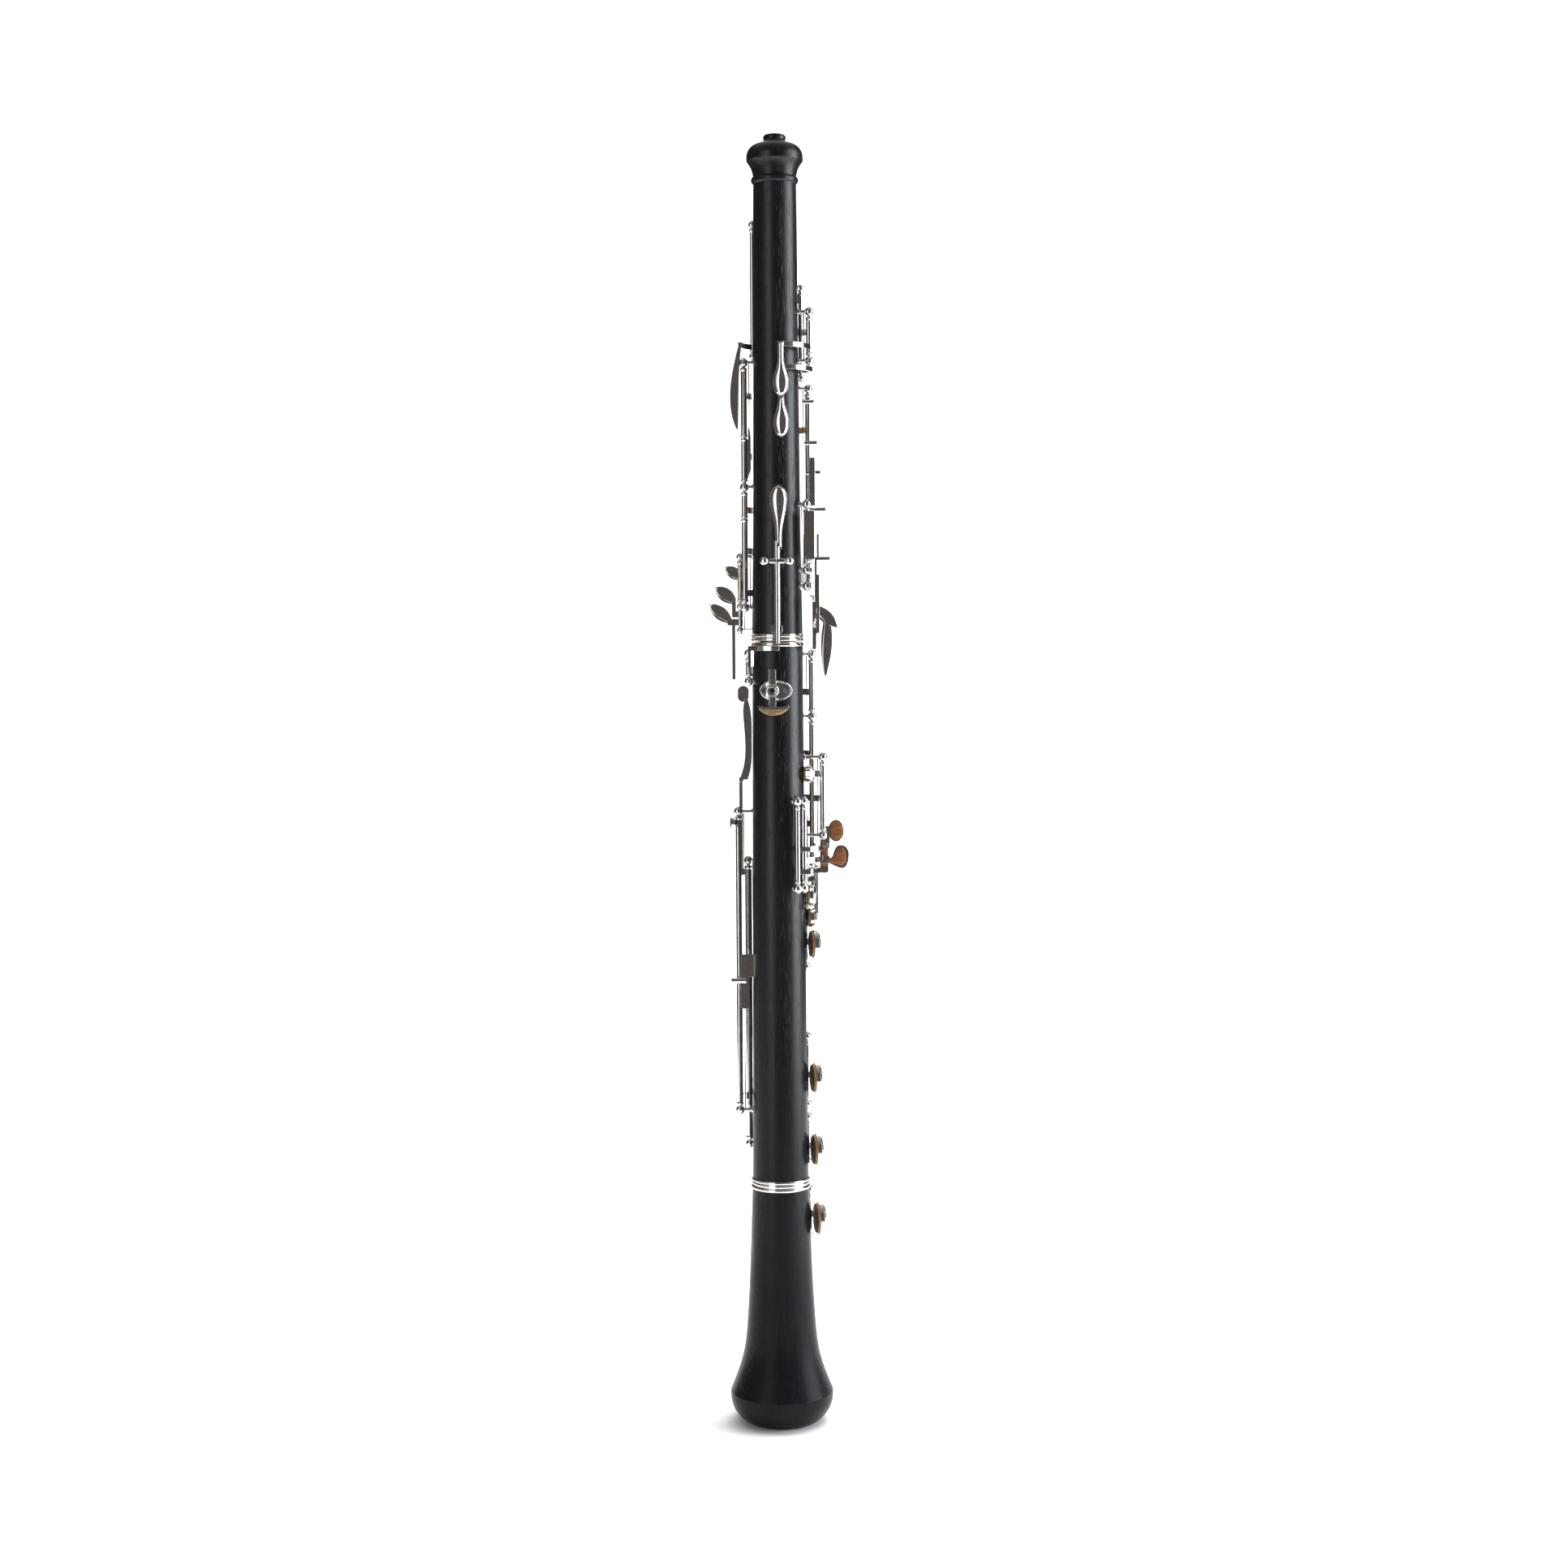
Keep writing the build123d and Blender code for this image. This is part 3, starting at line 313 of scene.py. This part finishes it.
# Lines of the steel rods: a key on each, height of the lowest and highest post, and the posts' ball radius.
ROD_LINES = [(*HINGE_OF[BODY_OF[key]][:2], low, high, ball) for key, low, high, ball in (
    ("half_hole_key", 383.5, 496.6, 2.1), ("second_octave_key", 500.4, 560.8, 1.7),
    ("third_octave_key", 497.4, 519.9, 2.1), ("first_octave_key", 489.8, 531.0, 1.7),
    ("side_trill_key", 393.6, 484.8, 2.1), ("link_lever", 393.2, 431.0, 2.1),
    ("g_sharp_key", 373.0, 407.2, 1.7), ("bridge_key", 349.3, 362.3, 2.1),
    ("low_b_flat_lever", 147.6, 288.4, 2.1), ("low_b_lever", 130.0, 264.8, 2.1),
    ("f_sharp_key", 263.9, 361.6, 2.1), ("f_key", 277.1, 313.7, 2.1),
    ("e_flat_key", 253.2, 293.8, 2.1), ("c_sharp_key", 253.2, 293.8, 2.1), ("c_key", 213.9, 264.1, 2.1),
    ("low_b_key", 147.9, 180.3, 2.1), ("low_b_flat_key", 120.0, 141.8, 2.1), ("bell_key", 84.0, 106.8, 2.1),
)]
SPRING_LENGTHS = (26, 20, 12, 16, 24, 14, 9, 7, 30, 28, 22, 18, 20, 20, 22, 18, 14, 14)
SPRING_LEAN = 0.012


def tube_collars(node, low, high, radius):
    """Turned beads at both ends of a hinge tube, each between two fine steps."""
    body = BODY_OF[node]
    x, y, _ = HINGE_OF[body]
    bm = bmesh.new()
    inner, bead = radius - 0.25, radius + 0.32
    for end, way in ((low, 1), (high, -1)):
        hoop(bm, [(inner, way * 0.15), (radius + 0.16, way * 0.15), (radius + 0.2, way * 0.35),
                  (radius + 0.1, way * 0.5), (bead - 0.1, way * 0.62), (bead, way * 0.85),
                  (bead - 0.1, way * 1.08), (radius + 0.06, way * 1.2), (radius + 0.02, way * 1.6),
                  (inner, way * 1.6)], (x, y, end))
    finished(f"{node}_collars", bm, body, FINISH["silver_plate"])


def pivot_screws():
    """Slotted heads of the rods, in the outer poles of the posts at both ends of each line."""
    bm = bmesh.new()
    for x, y, low, high, ball in ROD_LINES:
        for z, way in ((low, -1), (high, 1)):
            top = ball - 0.12
            lathe(bm, [(0, top - 0.6), (0.95, top - 0.6), (0.95, top + 0.05), (0.85, top + 0.16),
                       (0.5, top + 0.2), (0, top + 0.2)], (x, y, z), (0, 0, way), 20)
    finished("pivot_screw_heads", bm, ROOT, FINISH["steel"])


def screw_slots():
    """Dark strips across the rod heads: painted shade where their slots would be."""
    bm = bmesh.new()
    for x, y, low, high, ball in ROD_LINES:
        for z, way in ((low, -1), (high, 1)):
            top = z + way * (ball + 0.07)
            turn = radians(37 * x + 11 * z)
            corners = []
            for side in (-1, 1):
                for along in (-0.84, -0.4, 0.4, 0.84):
                    corners.append((along, side * 0.11, 0.03 if abs(along) < 0.5 else -0.05))
            verts = [bm.verts.new((x + u * cos(turn) - v * sin(turn), y + u * sin(turn) + v * cos(turn),
                                   top + way * h)) for u, v, h in corners]
            for i in range(3):
                bm.faces.new((verts[i], verts[i + 1], verts[i + 5], verts[i + 4]))
    finished("pivot_screw_slots", bm, ROOT, SHADOWED)


def needle_springs():
    """Blued needle springs: each leaves a post and runs beside its tube, next to the wood."""
    bm = bmesh.new()
    for (x, y, low, high, ball), reach in zip(ROD_LINES, SPRING_LENGTHS):
        rho = (x * x + y * y) ** 0.5
        inside = 1 - (ball + 0.35) / rho
        for z, way in ((low, 1), (high, -1)):
            lathe(bm, [(0, -0.9), (0.3, -0.8), (0.27, 0), (0.2, reach * 0.6), (0.12, reach), (0, reach)],
                  (inside * x, inside * y, z), (-SPRING_LEAN * y / rho, SPRING_LEAN * x / rho, way), 8)
    finished("needle_springs", bm, ROOT, SPRING_STEEL)


def petal_half(neck, wide, neck_at, wide_at):
    """Half width along a thumb touch: a straight stem, a swelling and a round end."""
    def half(t):
        if t <= neck_at:
            return neck
        if t <= wide_at:
            return neck + (wide - neck) * (0.5 - 0.5 * cos(pi * (t - neck_at) / (wide_at - neck_at)))
        return wide * max(0.0, 1 - ((t - wide_at) / (1 - wide_at)) ** 2.3) ** 0.5
    return half


def leaf_half(half_width, root_half):
    """Half width along a leaf-shaped touch from its tip to its root."""
    def half(t):
        if t < 0.45:
            return half_width * (1 - (1 - t / 0.45) ** 2) ** 0.62
        return half_width + (root_half - half_width) * ((t - 0.45) / 0.55) ** 1.6
    return half


def finger_touches():
    """Crowned tops of the thumb and little-finger touches."""
    polished = FINISH["silver_plate"]
    # node, name, X, heights of its root and its end, face, and petal_half's widths and places
    petals = [
        ("third_octave_key", "upper_thumb_touch", 2.3, 503.6, 479.6, -17.4, (1.1, 3.3, 0.26, 0.74)),
        ("first_octave_key", "lower_thumb_touch", 2.4, 478.8, 461.3, -14.5, (1.1, 3.25, 0.0, 0.62)),
        ("thumb_plate_lever", "thumb_teardrop", 0.9, 411.0, 439.1, -16.0, (1.15, 3.6, 0.14, 0.77)),
    ]
    for node, name, x, root, end, face, outline in petals:
        bm = bmesh.new()
        crown(bm, (x, root), (x, end), petal_half(*outline), face, -1.25)
        if name == "thumb_teardrop":
            crown(bm, (0.05, 413.6), (0.05, 366.8), lambda t: 1.25 - 0.12 * t, face, -1.3)
        finished(name, bm, BODY_OF[node], polished, 1)
    leaves = [
        ("g_sharp_key", "g_sharp_leaf", (-24.1, 402.4), (-17.2, 397.6), 2.35, 1.1, 5.62),
        ("low_b_flat_touch", "low_b_flat_leaf", (-28.7, 393.0), (-20.3, 386.6), 2.75, 1.3, 5.62),
        ("low_b_touch", "low_b_leaf", (-31.4, 385.0), (-22.6, 377.8), 2.65, 1.25, 5.62),
        ("side_trill_key", "upper_trill_leaf", (27.9, 374.3), (18.6, 383.0), 2.45, 1.15, 5.0),
        ("side_trill_key", "lower_trill_leaf", (22.42, 351.2), (23.38, 379.4), 2.2, 1.0, 5.0),
    ]
    for node, name, tip, root, half_width, root_half, middle in leaves:
        bm = bmesh.new()
        for way in (-1, 1):
            crown(bm, tip, root, leaf_half(half_width, root_half), middle + way * 0.7, way * 0.22)
        finished(name, bm, BODY_OF[node], polished, 1)


def smooth_loop(points, per_span=6):
    """Closed Catmull-Rom curve through (X, Z) points."""
    loop = []
    count = len(points)
    for i in range(count):
        p0, p1, p2, p3 = (Vector(points[(i + k - 1) % count]) for k in range(4))
        for step in range(per_span):
            t = step / per_span
            loop.append(0.5 * (2 * p1 + (p2 - p0) * t + (2 * p0 - 5 * p1 + 4 * p2 - p3) * t * t
                               + (3 * p1 - p0 - 3 * p2 + p3) * t ** 3))
    return loop


def facing(key, face_y, outline):
    """Thin brown facing let into the back of a little-finger paddle, inside its silver edge."""
    loop = smooth_loop(outline)
    middle = sum(loop, Vector((0, 0))) / len(loop)
    bm = bmesh.new()
    rings = []
    for scale, y in ((0.86, 0.2), (0.86, -0.12), (0.82, -0.25), (0.5, -0.36), (0.2, -0.4)):
        points = [middle + (point - middle) * scale for point in loop]
        rings.append([bm.verts.new((point.x, face_y + y, point.y)) for point in points])
    for low, high in zip(rings, rings[1:]):
        for i in range(len(loop)):
            j = (i + 1) % len(loop)
            bm.faces.new((low[i], low[j], high[j], high[i]))
    bm.faces.new(rings[-1])
    finished(f"{key}_facing", bm, BODY_OF[f"{key}_key"], FACING)


def ring_beads():
    """Convex bands turned on the three socket rings."""
    # each band's radius, foot and top
    bands_of = {
        "upper_joint_ring": ((11.72, 367.95, 369.4), (11.72, 369.7, 371.15)),
        "lower_joint_ring": ((11.75, 365.45, 367.2),),
        "bell_ring": ((13.5, 111.05, 112.5), (13.15, 112.85, 114.35), (13.5, 114.7, 115.95)),
    }
    for node, bands in bands_of.items():
        bm = bmesh.new()
        for radius, low, high in bands:
            half = (high - low) / 2
            arc = [(radius + 0.42 * cos(radians(turn)), half * sin(radians(turn)))
                   for turn in range(-80, 81, 16)]
            hoop(bm, arc + [(radius - 0.3, half), (radius - 0.3, -half)], (0, 0, (low + high) / 2), 96)
        finished(f"{node}_beads", bm, ROOT, FINISH["silver_plate"])


# Clamp screw of the thumb rest.
CLAMP_X = -2.5
CLAMP_Z = 345.2


def thumb_bar_rack():
    """Fine teeth across the middle of the sliding bar."""
    bm = bmesh.new()
    pitch, z, top = 0.7, 338.9, 354.6
    rows = []
    while z < top:
        for along, lift in ((0, 0.0), (0.3, 0.07), (0.5, 0.1), (0.7, 0.07)):
            rows.append([bm.verts.new((x, -16.69 - lift * (abs(x + 2.5) < 1.3), z + along * pitch))
                         for x in (-3.9, -3.7, -1.3, -1.1)])
        z += pitch
    for a, b in zip(rows, rows[1:]):
        for i in range(3):
            bm.faces.new((a[i], a[i + 1], b[i + 1], b[i]))
    finished("thumb_bar_rack", bm, BODY_OF["thumb_rest_bar"], FINISH["silver_plate"])


def thumb_rest_boss_and_rim():
    """Turned boss round the clamp screw, and the raised oval rim of the plate, which follows the wood."""
    bm = bmesh.new()
    lathe(bm, [(1.5, -0.4), (1.5, 0.2), (1.7, 0.45), (2.2, 0.52), (2.7, 0.36), (3.0, 0.0), (3.14, -0.5),
               (3.14, -5.4)], (CLAMP_X, -18.2, CLAMP_Z), (0, -1, 0), 48)
    half_width, half_height, rim, rho = 7.1, 4.25, 0.42, 12.95
    steps, sides = 72, 10
    rings = []
    for i in range(steps):
        turn = 2 * pi * i / steps
        x, z = -0.8 + half_width * cos(turn), CLAMP_Z + half_height * sin(turn)
        outward = Vector((x, -(13.0 ** 2 - x * x) ** 0.5, 0)).normalized()
        centre = outward * rho + Vector((0, 0, z))
        across = Vector((half_height * cos(turn), 0, half_width * sin(turn))).normalized()
        rings.append([bm.verts.new(centre + rim * (cos(2 * pi * k / sides) * across
                                                   + sin(2 * pi * k / sides) * outward))
                      for k in range(sides)])
    for a, b in zip(rings, rings[1:] + rings[:1]):
        for k in range(sides):
            bm.faces.new((a[k], a[(k + 1) % sides], b[(k + 1) % sides], b[k]))
    finished("thumb_rest_boss_and_rim", bm, ROOT, FINISH["silver_plate"])


def clamp_screw_socket():
    """Dark disc in the head of the thumb rest's clamp screw: painted shade of its socket."""
    bm = bmesh.new()
    lathe(bm, [(0, 0.02), (0.8, 0.03), (1.1, 0.06), (1.16, -0.1)], (CLAMP_X, -18.8, CLAMP_Z), (0, -1, 0), 24)
    finished("clamp_screw_socket", bm, ROOT, SHADOWED)


def hook_cork():
    """Cork cushion under the thumb hook: a crescent, deepest in the middle."""
    bm = bmesh.new()
    columns, rows = 24, 5
    grid = []
    for y in (-13.7, -14.1, -18.0, -21.8, -22.2):
        edge = 0.35 if y in (-13.7, -22.2) else 0.0
        line = []
        for way in (1, -1):
            for i in range(columns + 1):
                u = (2 * i / columns - 1) * way
                x = -1.9 + u * (6.8 - edge)
                top = 336.5 + 0.75 * u * u
                low = 333.9 + edge + 2.9 * abs(u) ** 2.4
                line.append(bm.verts.new((x, y, top - edge * 0.5 if way == 1 else min(low, top - 0.15))))
        grid.append(line)
    for a, b in zip(grid, grid[1:]):
        for i in range(len(a)):
            j = (i + 1) % len(a)
            bm.faces.new((a[i], a[j], b[j], b[i]))
    for line in (grid[0], grid[-1]):
        for i in range(columns):
            bm.faces.new((line[i], line[i + 1], line[-2 - i], line[-1 - i]))
    finished("thumb_hook_cork", bm, BODY_OF["thumb_rest_bar"], FINISH["cork"])


# Pads: cup, azimuth of the cup with the key at rest, pad radius and tone hole radius.
PAD_FACES = [
    ("second_octave", -172, 2.7, 0.8), ("third_octave", 140, 2.7, 0.8), ("first_octave", 140, 2.7, 0.8),
    ("half_hole", 186, 5.8, 2.0), ("a", 186, 5.8, 2.2), ("g", 186, 5.5, 2.4), ("c_vent", 186, 4.3, 2.2),
    ("g_sharp", 180, 4.3, 2.6), ("side_trill", 150, 3.1, 1.6), ("f_sharp", 174, 6.1, 3.0),
    ("e", 174, 6.1, 3.2), ("d", 174, 6.3, 3.5), ("f", 77, 3.7, 2.5), ("e_flat", 90, 4.7, 3.6),
    ("c_sharp", 100, 4.1, 3.0),
    ("c", 100, 6.2, 4.3), ("low_b", 100, 6.55, 4.8), ("low_b_flat", 100, 7.0, 5.2), ("bell", 100, 7.1, 4.0),
]
PAD_DEPTH = 2.3


def pad(cup, azimuth, radius, hole):
    """Skin-covered pad: rounded rim, slightly puffed face and the ring that the tone hole has pressed."""
    node = f"{cup}_pad"
    low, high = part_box(node)
    middle = [500 * (a + b) for a, b in zip(low, high)]
    inward = (-sin(radians(azimuth)), cos(radians(azimuth)), 0)
    face = PAD_DEPTH / 2
    dent = min(hole + 0.5, radius - 1.0)
    bm = bmesh.new()
    lathe(bm, [(0, -face), (radius - 0.2, -face), (radius - 0.05, -face + 0.5), (radius - 0.02, face - 0.9),
               (radius - 0.14, face - 0.45), (radius - 0.45, face - 0.12), (dent + 0.42, face - 0.03),
               (dent + 0.2, face - 0.1), (dent, face - 0.19), (dent - 0.2, face - 0.1),
               (dent - 0.42, face - 0.03), (dent * 0.35, face), (0, face)], middle, inward, 48)
    # Polygons on the face towards the tone hole take the darker second skin: painted shade.
    for pressed in bm.faces:
        centre = pressed.calc_center_median() - Vector(middle)
        depth = centre.dot(Vector(inward))
        pressed.material_index = int(depth > face - 0.5)
    cushion = finished(f"{cup}_skin_pad", bm, BODY_OF[node], FINISH["pad_skin"])
    cushion.data.materials.append(PAD_FACE)
    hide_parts(node)


for tube_ends in TUBES:
    tube_collars(*tube_ends)
pivot_screws()
screw_slots()
needle_springs()
finger_touches()
hook_cork()
ring_beads()
thumb_bar_rack()
thumb_rest_boss_and_rim()
clamp_screw_socket()
facing("c_sharp", 5.1, [(26.9, 283.9), (30.0, 281.9), (30.6, 278.8), (29.6, 275.3), (26.9, 273.7),
                        (24.0, 275.0), (23.6, 278.8), (24.2, 282.3)])
facing("e_flat", 5.1, [(21.6, 264.2), (25.5, 262.9), (30.2, 261.9), (32.4, 265.2), (31.0, 271.0),
                       (28.0, 271.1), (25.8, 267.4)])
facing("c", 10.7, [(21.55, 276.0), (23.2, 274.2), (23.4, 269), (23.3, 262), (21.55, 260.4), (19.8, 262),
                   (19.7, 269), (19.9, 274.2)])
for pad_face in PAD_FACES:
    pad(*pad_face)


# ---- floor, light and camera ----
def stage_sheet():
    """Pale paper floor from just before the object, curving up into a backdrop far behind it."""
    depth_front, depth_back, rise, half_width, bend = 0.45, 1.6, 2.6, 3.0, 0.7
    steps = 16
    profile = [(-depth_front, 0.0), (depth_back - bend, 0.0)]
    profile += [(depth_back - bend + bend * sin(pi / 2 * i / steps), bend - bend * cos(pi / 2 * i / steps))
                for i in range(1, steps + 1)]
    profile.append((depth_back, rise))
    mesh = bpy.data.meshes.new("floor")
    bm = bmesh.new()
    rows = [[bm.verts.new((x, y, z)) for x in (-half_width, half_width)] for y, z in profile]
    for a, b in zip(rows, rows[1:]):
        bm.faces.new((a[0], a[1], b[1], b[0]))
    bm.to_mesh(mesh)
    bm.free()
    mesh.shade_smooth()
    floor = bpy.data.objects.new("floor", mesh)
    scene.collection.objects.link(floor)
    paper = Shader("floor_paper", Roughness=0.8, Specular_IOR_Level=0.1)
    tone = paper.noise(paper.scaled(1, 1, 1), 6, detail=3)
    paper.into("Base Color", paper.ramp(tone, (0.3, (0.94, 0.94, 0.94)), (0.7, (0.96, 0.96, 0.96))))
    mesh.materials.append(paper.material)


def softbox(name, azimuth, distance, height, width, tall, power, aim=(0, 0, 0.3), tint=(1, 1, 1),
            mirrored=True):
    """Area light at an azimuth counted from the back towards +X, aimed at the object.

    A light that isn't mirrored only fills: the polished metal doesn't show it.
    """
    light = bpy.data.lights.new(name, "AREA")
    light.shape = "RECTANGLE"
    light.size = width
    light.size_y = tall
    light.energy = power
    light.color = tint
    lamp = bpy.data.objects.new(name, light)
    place = Vector((distance * sin(radians(azimuth)), -distance * cos(radians(azimuth)), height))
    lamp.location = place
    lamp.rotation_euler = (place - Vector(aim)).to_track_quat("Z", "Y").to_euler()
    lamp.visible_glossy = mirrored
    scene.collection.objects.link(lamp)


def dark_flag(name, azimuths, distance):
    """Black panel beside the view that gives the silver its dark edges; it shows only in reflections."""
    mesh = bpy.data.meshes.new(name)
    bm = bmesh.new()
    rows = [[bm.verts.new((distance * sin(radians(azimuth)), -distance * cos(radians(azimuth)), z))
             for z in (0.02, 1.4)] for azimuth in azimuths]
    for a, b in zip(rows, rows[1:]):
        bm.faces.new((a[0], a[1], b[1], b[0]))
    bm.to_mesh(mesh)
    bm.free()
    panel = bpy.data.objects.new(name, mesh)
    scene.collection.objects.link(panel)
    cloth = Shader(f"{name}_cloth", Roughness=0.95, Specular_IOR_Level=0.05)
    weave = cloth.noise(cloth.scaled(1, 1, 1), 90, detail=3)
    cloth.into("Base Color", cloth.ramp(weave, (0.3, (0.035, 0.026, 0.020)), (0.7, (0.06, 0.046, 0.036))))
    mesh.materials.append(cloth.material)
    panel.visible_camera = False
    panel.visible_shadow = False
    panel.visible_diffuse = False


def studio_world():
    """Dim room behind the camera, brighter towards the backdrop; a plain pale surround where it shows."""
    world = bpy.data.worlds.new("studio")
    world.use_nodes = True
    tree = world.node_tree
    room = tree.nodes["Background"]
    place = tree.nodes.new("ShaderNodeTexCoord")
    axes = tree.nodes.new("ShaderNodeSeparateXYZ")
    tree.links.new(place.outputs["Generated"], axes.inputs["Vector"])
    across = tree.nodes.new("ShaderNodeMapRange")
    across.inputs["From Min"].default_value = -1
    tree.links.new(axes.outputs["Y"], across.inputs["Value"])
    tones = tree.nodes.new("ShaderNodeValToRGB")
    elements = tones.color_ramp.elements
    elements[0].position, elements[0].color = 0.15, (0.085, 0.076, 0.071, 1)
    elements[1].position, elements[1].color = 0.90, (0.88, 0.89, 0.91, 1)
    side = elements.new(0.5)
    side.color = (0.36, 0.355, 0.36, 1)
    tree.links.new(across.outputs["Result"], tones.inputs["Fac"])
    tree.links.new(tones.outputs["Color"], room.inputs["Color"])
    room.inputs["Strength"].default_value = 1.0
    surround = tree.nodes.new("ShaderNodeBackground")
    surround.inputs["Color"].default_value = (0.985, 0.985, 0.985, 1)
    mix = tree.nodes.new("ShaderNodeMixShader")
    path = tree.nodes.new("ShaderNodeLightPath")
    tree.links.new(path.outputs["Is Camera Ray"], mix.inputs["Fac"])
    tree.links.new(room.outputs["Background"], mix.inputs[1])
    tree.links.new(surround.outputs["Background"], mix.inputs[2])
    tree.links.new(mix.outputs["Shader"], tree.nodes["World Output"].inputs["Surface"])
    scene.world = world


stage_sheet()
softbox("key_right", 82, 1.15, 0.45, 0.75, 1.5, 20, tint=(0.90, 0.95, 1.0))
softbox("strip_left", -36, 1.2, 0.45, 0.55, 1.4, 3.6)
softbox("top", 145, 0.9, 1.8, 1.8, 1.2, 34, (0, 0.35, 0.1), mirrored=False)
softbox("backdrop", 180, 0.25, 2.1, 2.4, 0.8, 26, (0, 1.6, 0.5), mirrored=False)
dark_flag("flag_right", (106, 120, 136, 152, 168), 0.9)
dark_flag("flag_left", (-72, -95, -118, -143, -168), 0.9)
studio_world()
scene.view_settings.view_transform = "Standard"

CAMERA_DISTANCE = 1.101
CAMERA_HEIGHT = 0.3684
CAMERA_SHIFT = -0.009
CAMERA_PITCH = 3.15
CAMERA_ROLL = 0.35
CAMERA_SIDE = 0.0027
camera_data = bpy.data.cameras.new("camera")
camera_data.sensor_width = 36
camera_data.lens = 54.2
camera_data.clip_end = 20
camera_data.shift_y = CAMERA_SHIFT
camera = bpy.data.objects.new("camera", camera_data)
camera.matrix_world = (Matrix.Translation((CAMERA_SIDE, -CAMERA_DISTANCE, CAMERA_HEIGHT))
                       @ Matrix.Rotation(radians(90 - CAMERA_PITCH), 4, "X")
                       @ Matrix.Rotation(radians(-CAMERA_ROLL), 4, "Z"))
scene.collection.objects.link(camera)
scene.camera = camera
